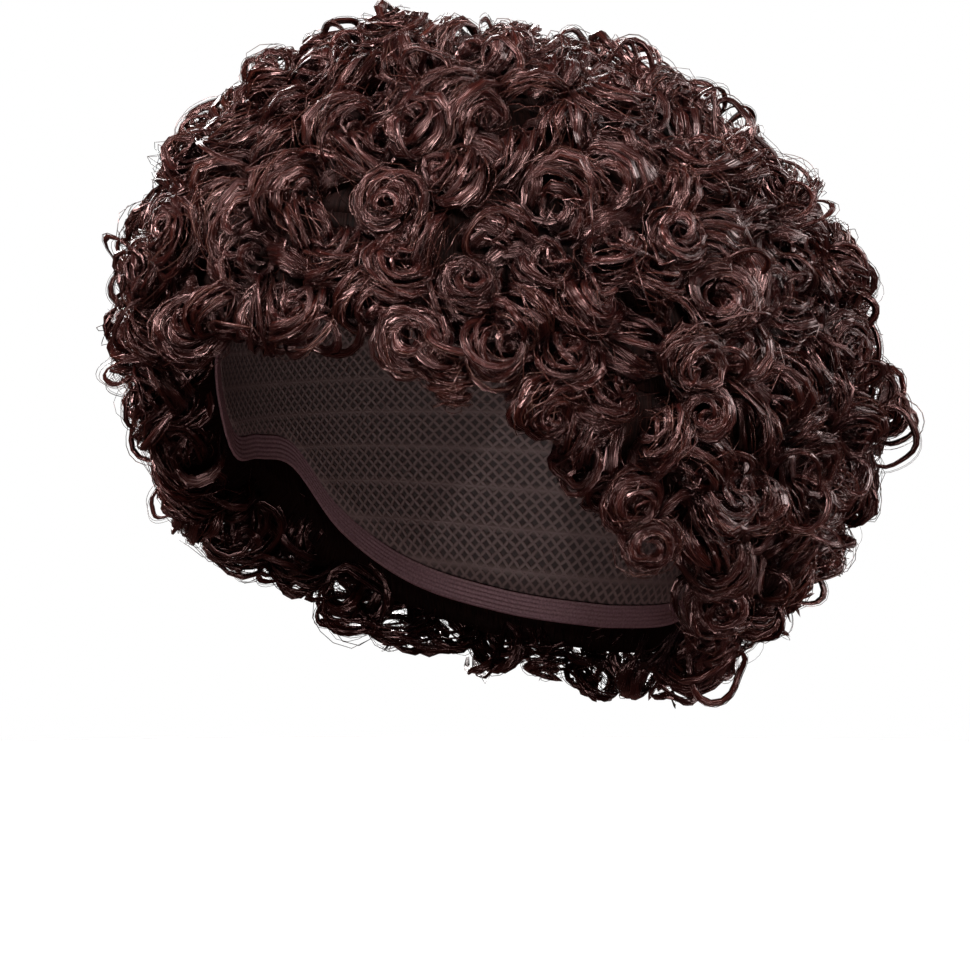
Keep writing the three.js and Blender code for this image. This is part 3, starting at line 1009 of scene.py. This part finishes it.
def add_strands(bundle, rng, curl, count, steps, sizes):
    """Fine strands over the outer side of a curl: most lie along its winding, some cross it or lift off."""
    made = []
    lowest = BORDER_FACING if curl["border"] else STRAND_FACING
    slope = STRAND_CLIMB / (TURN * curl["turns"])
    t = np.linspace(-1, 1, steps)
    while len(made) < count:
        angle0 = rng.uniform(0, TURN)
        latitude0 = math.asin(rng.uniform(*STRAND_SINES))
        _, out = on_curl(curl, np.array(angle0), np.array(latitude0), np.array(0.0))
        if out @ curl["normal"] < lowest:
            continue
        sweep = rng.uniform(*STRAND_SWEEP) * steps
        crossing = rng.normal(0, ALONG_SPREAD if rng.uniform() < ALONG_CHANCE else CROSS_SPREAD)
        angle = angle0 + curl["hand"] * sweep * t
        wave = STRAND_WAVE * np.sin(STRAND_WAVES * t + rng.uniform(0, TURN))
        latitude = latitude0 + sweep * t * (slope + crossing) + wave
        latitude = np.clip(latitude, -STRAND_LATITUDE, STRAND_LATITUDE)
        loose = rng.uniform() < LOOSE_CHANCE
        lift = rng.uniform(*STRAND_LIFT) + (rng.uniform(*LOOSE_LIFT) if loose else 0) * (1 - t**2)
        lift = lift - (rng.uniform(*LOOSE_DIP) if loose else CLOSE_DIP) * t**4
        points, _ = on_curl(curl, angle, latitude, lift)
        made.append(points)
    width = sizes.strand_radius / MM * rng.uniform(*STRAND_WIDTH, (count, 1)) * (1 - STRAND_THINNING * t**4)
    bundle.add_strands(np.array(made), width, curl["axis"], strand_tones(rng, count))


def lay_set_curls(rng, table, depth):
    """The curls of a table of places, each with its polar angle and azimuth."""
    curls = []
    for polar, azimuth, size, axis_polar, axis_azimuth in table:
        axis = direction(axis_polar, axis_azimuth)
        curl = lay_on_hair(rng, polar, azimuth, size, depth, axis=axis)
        curl["fine"] = FINEST
        curls.append((polar, azimuth, curl))
    return curls


def piece_of(polar, azimuth):
    """The row and side that a curl belongs to."""
    return row_of(polar, azimuth), "left" if math.sin(math.radians(azimuth)) >= 0 else "right"


def wind(bundle, rng, curl, layer, strands, sizes):
    """Winds a curl's locks round it, from its root side up, and lays fine strands over each."""
    for k in range(layer.locks):
        lock = tilt(rng, curl)
        level = LOCK_LOWEST + LOCK_RANGE * (k + rng.uniform(0, 1)) / layer.locks
        climb = rng.uniform(*LOCK_CLIMB)
        half = layer.width * rng.uniform(*LOCK_WIDTH)
        if curl["border"]:
            half = min(half, BORDER_WIDTH)
        low, high = level - climb / 2, level + climb / 2
        add_lock(bundle, rng, lock, layer.ridges, low, high, half, fine=curl["fine"])
        if curl["border"]:
            fewer = max(1, strands * 2 // 3)
            add_strands(bundle, rng, lock, fewer, layer.steps + BORDER_MORE_STEPS, sizes)
        else:
            add_strands(bundle, rng, lock, strands, layer.steps, sizes)


class WIG_OT_hair(bpy.types.Operator):
    """The rows of curled hair: close hair under rows of curls, with more curls deep between them"""
    bl_idname = "wig.hair"
    bl_label = "Curled hair"

    def execute(self, context):
        sizes, colours = context.scene.wig_sizes, context.scene.wig_colours
        spacing, radius = sizes.curl_spacing / MM, sizes.curl_radius / MM
        if spacing <= 0 or radius <= 0:
            raise ValueError("curl spacing and curl radius must be above zero")
        rng = np.random.default_rng(sizes.seed)
        material = hair_material(colours.hair_tint, radius)
        roots = root_material(colours.hair_root_and_shade)
        for row in range(LAST_ROW + 1):
            make_base(row).piece(f"close_hair_{row + 1}", roots, "hair", f"hair_row_{row + 1}")
        bundles = {}

        def wind_all(curls, layer, strands):
            for polar, azimuth, curl in curls:
                bundle = bundles.setdefault(piece_of(polar, azimuth), Bundle())
                wind(bundle, rng, curl, layer, strands, sizes)

        upper_strands = sizes.strands // UPPER.locks
        for layer, strands in ((UPPER, upper_strands), (DEEP, DEEP_STRANDS)):
            curls = []
            for polar, azimuth, seat, normal, border in curl_seats(rng, spacing * layer.gap, layer.turn):
                if layer is UPPER and near_set_curl(seat):
                    continue
                room = max(1.0, np.linalg.norm(seat - CENTRE) / MEAN_RADIUS)
                depth = layer.depth + rng.normal(0, layer.uneven)
                curl = lay_curl(rng, seat, normal, radius * room, depth, border)
                curl["fine"] = FINEST if border else layer.fine
                curls.append((polar, azimuth, curl))
            if layer is UPPER:
                curls += lay_set_curls(rng, SET_CURLS, SET_DEPTH)
            wind_all(curls, layer, strands)
        wind_all(lay_set_curls(rng, GAP_CURLS, UPPER.depth), UPPER, upper_strands)
        for (row, side), bundle in sorted(bundles.items()):
            bundle.piece(f"curls_{row + 1}_{side}", material, "hair", f"hair_row_{row + 1}")
        return {"FINISHED"}


def stand_off(rng, radius, proud):
    """A loop somewhere on the hair's form that stands up out of it, wound from its root within the hair."""
    while True:
        polar = math.degrees(math.acos(1 - STRAY_REACH * rng.uniform()))
        azimuth = rng.uniform(0, 360)
        if polar < float(hair_edge(azimuth)) - STRAY_BORDER:
            break
    curl = lay_on_hair(rng, polar, azimuth, radius, -proud, least_lean=STRAY_LEAN)
    curl["start"] = rng.normal(0, STRAY_START)
    return curl


def set_loop(rng, polar, azimuth, radius, proud):
    """A loop at a given place that stands on edge, its axis level."""
    curl = lay_on_hair(rng, polar, azimuth, radius, -proud, least_lean=LOOP_LEAN, heading=0.0)
    curl["start"] = rng.normal(0, LOOP_START)
    return curl


class WIG_OT_stray_hairs(bpy.types.Operator):
    """Thin locks that hook out of the curls, and single hairs that stand off them"""
    bl_idname = "wig.stray_hairs"
    bl_label = "Stray hairs"

    def execute(self, context):
        material = bpy.data.materials.get(HAIR_FIBRE)
        if material is None:
            raise RuntimeError("lay the curled hair first: the stray hairs share its material")
        sizes = context.scene.wig_sizes
        thickness = sizes.strand_radius / MM
        rng = np.random.default_rng(sizes.seed + 1)
        bundle = Bundle()
        t = np.linspace(0, 1, STRAY_STEPS)
        hooks = []
        for _ in range(sizes.hooks):
            curl = stand_off(rng, rng.uniform(*HOOK_RADIUS), rng.uniform(*HOOK_HEIGHT))
            curl["turns"] = rng.uniform(*HOOK_TURNS)
            hooks.append((curl, rng.uniform(*HOOK_WIDTH)))
        for polar, azimuth, radius, proud, turns, half in LOOPS:
            for _ in range(LOOP_LOCKS):
                down = polar + rng.normal(0, LOOP_JITTER[0])
                curl = set_loop(rng, down, azimuth + rng.normal(0, LOOP_JITTER[1]), radius, proud)
                curl["turns"] = turns
                hooks.append((curl, half))
        pair = (HOOK_STRANDS, 1)
        for curl, half in hooks:
            level, climb = rng.uniform(*HOOK_LEVEL), rng.normal(0, HOOK_CLIMB)
            draw_in = rng.uniform(*HOOK_DRAW_IN)
            add_lock(bundle, rng, curl, HOOK_RIDGES, level, level + climb, half, draw_in, HOOK_FINE)
            angle = curl["start"] + curl["hand"] * TURN * curl["turns"] * t + np.zeros(pair)
            latitude = level + climb * t + half * rng.normal(0, HOOK_STRAND_SPREAD, pair)
            lift = rng.uniform(*HOOK_STRAND_LIFT, pair) - draw_in * t**2
            paths, _ = on_curl(curl, angle, latitude, lift)
            width = thickness * np.ones(pair) * np.linspace(1, HOOK_STRAND_TIP, STRAY_STEPS)
            bundle.add_strands(paths, width, curl["axis"], strand_tones(rng, HOOK_STRANDS))
        made = 0
        while made < sizes.stray_hairs:
            curl = stand_off(rng, rng.uniform(*SINGLE_RADIUS), rng.uniform(*SINGLE_HEIGHT))
            count = rng.integers(*SINGLE_GROUP)
            each = (count, 1)
            angle = curl["start"] + curl["hand"] * rng.uniform(*SINGLE_SWEEP, each) * t
            latitude = rng.uniform(*SINGLE_LEVEL) + rng.normal(0, SINGLE_SPREAD, each)
            latitude = latitude + rng.normal(0, SINGLE_CLIMB) * t
            lift = rng.normal(0, SINGLE_LIFT, each) - rng.uniform(*SINGLE_DRAW_IN) * t**2 + 0 * angle
            paths, _ = on_curl(curl, angle, latitude, lift)
            width = thickness * SINGLE_THICKNESS * np.ones(each) * np.linspace(1, SINGLE_TIP, STRAY_STEPS)
            bundle.add_strands(paths, width, curl["axis"], strand_tones(rng, count))
            made += count
        bundle.piece("stray_hairs", material, "hair")
        return {"FINISHED"}


class WIG_OT_stage(bpy.types.Operator):
    """Pale floor and backdrop, soft studio lights and the camera"""
    bl_idname = "wig.stage"
    bl_label = "Stage"

    def execute(self, context):
        scene = context.scene
        distance = scene.wig_sizes.camera_distance
        if distance <= 0:
            raise ValueError("the camera's distance must be above zero")
        deselect()
        bpy.ops.mesh.primitive_circle_add(
            vertices=FLOOR_CORNERS, radius=FLOOR_RADIUS, fill_type="NGON", location=(0, 0, FLOOR_HEIGHT))
        floor = context.object
        floor.visible_diffuse = floor.visible_glossy = False
        floor.name = "floor"
        floor.data.materials.append(paper_material())

        # The backdrop is white to the camera and dimmer as a light, so that gaps in the hair stay dark.
        world = bpy.data.worlds.new("studio")
        scene.world = world
        world.use_nodes = True
        tree = world.node_tree
        tree.nodes.clear()
        path = add_node(tree, "LightPath")
        fill = add_node(tree, "Background", Color=linear("#ffaaa0"), Strength=FILL_STRENGTH)
        white = add_node(tree, "Background", Color=WHITE, Strength=1.0)
        both = add_node(tree, "MixShader", {"Fac": path.outputs["Is Camera Ray"], 1: fill, 2: white})
        add_node(tree, "OutputWorld", {"Surface": both})

        for name, where, size, power in LIGHTS:
            light = bpy.data.lights.new(name, "AREA")
            light.size = size
            light.energy = power
            lamp = bpy.data.objects.new(name, light)
            lamp.location = where
            lamp.rotation_euler = (LIT_MIDDLE - Vector(where)).to_track_quat("-Z", "Y").to_euler()
            scene.collection.objects.link(lamp)

        azimuth, elevation = math.radians(VIEW[0]), math.radians(VIEW[1])
        level = math.cos(elevation)
        right = Vector((math.cos(azimuth), math.sin(azimuth), 0))
        back = Vector((math.sin(azimuth) * level, -math.cos(azimuth) * level, math.sin(elevation)))
        up = back.cross(right)
        across = (PICTURE_MIDDLE[0] - CROWN_IN_PICTURE[0]) * PIXEL
        down = (PICTURE_MIDDLE[1] - CROWN_IN_PICTURE[1]) * PIXEL
        lens = bpy.data.cameras.new("camera")
        lens.sensor_width = SENSOR
        lens.lens = SENSOR * distance / (PICTURE_SIDE * PIXEL)
        lens.clip_end = FAR
        camera = bpy.data.objects.new("camera", lens)
        camera.location = right * across - up * down + back * distance
        camera.rotation_euler = (-back).to_track_quat("-Z", "Y").to_euler()
        scene.collection.objects.link(camera)
        scene.camera = camera
        scene.view_settings.view_transform = "Standard"
        return {"FINISHED"}


class WIG_PT_panel(bpy.types.Panel):
    """Lists the wig's pieces, sizes and colours"""
    bl_idname = "WIG_PT_panel"
    bl_label = "Short curly wig"
    bl_space_type = "VIEW_3D"
    bl_region_type = "UI"
    bl_category = "Wig"

    def draw(self, context):
        for operator in OPERATORS:
            self.layout.operator(operator.bl_idname)
        for group in (context.scene.wig_sizes, context.scene.wig_colours):
            for name in group.__annotations__:
                self.layout.prop(group, name)


OPERATORS = (WIG_OT_cap, WIG_OT_edge_band, WIG_OT_hair, WIG_OT_stray_hairs, WIG_OT_stage)
CLASSES = (WigSizes, WigColours, *OPERATORS, WIG_PT_panel)


def register():
    for cls in CLASSES:
        bpy.utils.register_class(cls)
    bpy.types.Scene.wig_sizes = PointerProperty(type=WigSizes)
    bpy.types.Scene.wig_colours = PointerProperty(type=WigColours)


def unregister():
    del bpy.types.Scene.wig_colours
    del bpy.types.Scene.wig_sizes
    for cls in reversed(CLASSES):
        bpy.utils.unregister_class(cls)


def main():
    register()
    bpy.ops.wig.cap()
    bpy.ops.wig.edge_band()
    bpy.ops.wig.hair()
    bpy.ops.wig.stray_hairs()
    bpy.ops.wig.stage()


if __name__ == "__main__":
    main()
